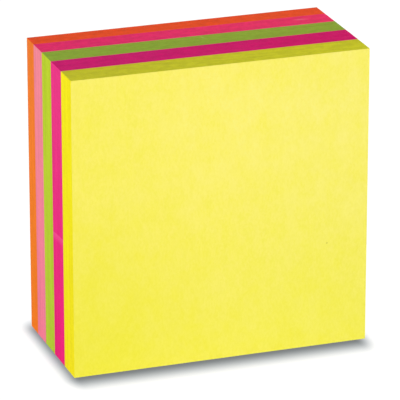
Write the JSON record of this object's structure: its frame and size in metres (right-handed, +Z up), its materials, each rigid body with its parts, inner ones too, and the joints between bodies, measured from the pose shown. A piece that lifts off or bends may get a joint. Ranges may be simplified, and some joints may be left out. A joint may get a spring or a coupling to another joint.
{
  "type": "sticky note pad",
  "caption": "Square block of removable sticky notes in several neon paper colours, stacked front to back, for writing short notes and peeling them off.",
  "frame": {"origin": "on the standing surface, at the middle of the block's width and depth", "axes": "+X to the reader's right along the note's width, +Y away from the reader through the stack from the front note to the backing sheet, +Z up along the note's height"},
  "size_m": [0.075, 0.0354, 0.075],
  "materials": {
    "yellow_paper": "matt neon yellow note paper",
    "magenta_paper": "matt neon magenta note paper",
    "green_paper": "matt neon lime green note paper",
    "pink_paper": "matt neon pink note paper",
    "orange_paper": "matt neon orange note paper",
    "adhesive": "clear tacky acrylic film, hidden between the pads",
    "backing_paper": "white release-coated paper"
  },
  "bodies": {
    "root": {"yellow_pad": "yellow_paper", "yellow_adhesive_strip": "adhesive", "magenta_pad": "magenta_paper", "magenta_adhesive_strip": "adhesive", "green_pad": "green_paper", "green_adhesive_strip": "adhesive", "pink_pad": "pink_paper", "pink_adhesive_strip": "adhesive", "orange_pad": "orange_paper", "orange_adhesive_strip": "adhesive", "backing_sheet": "backing_paper"}
  },
  "joints": []
}
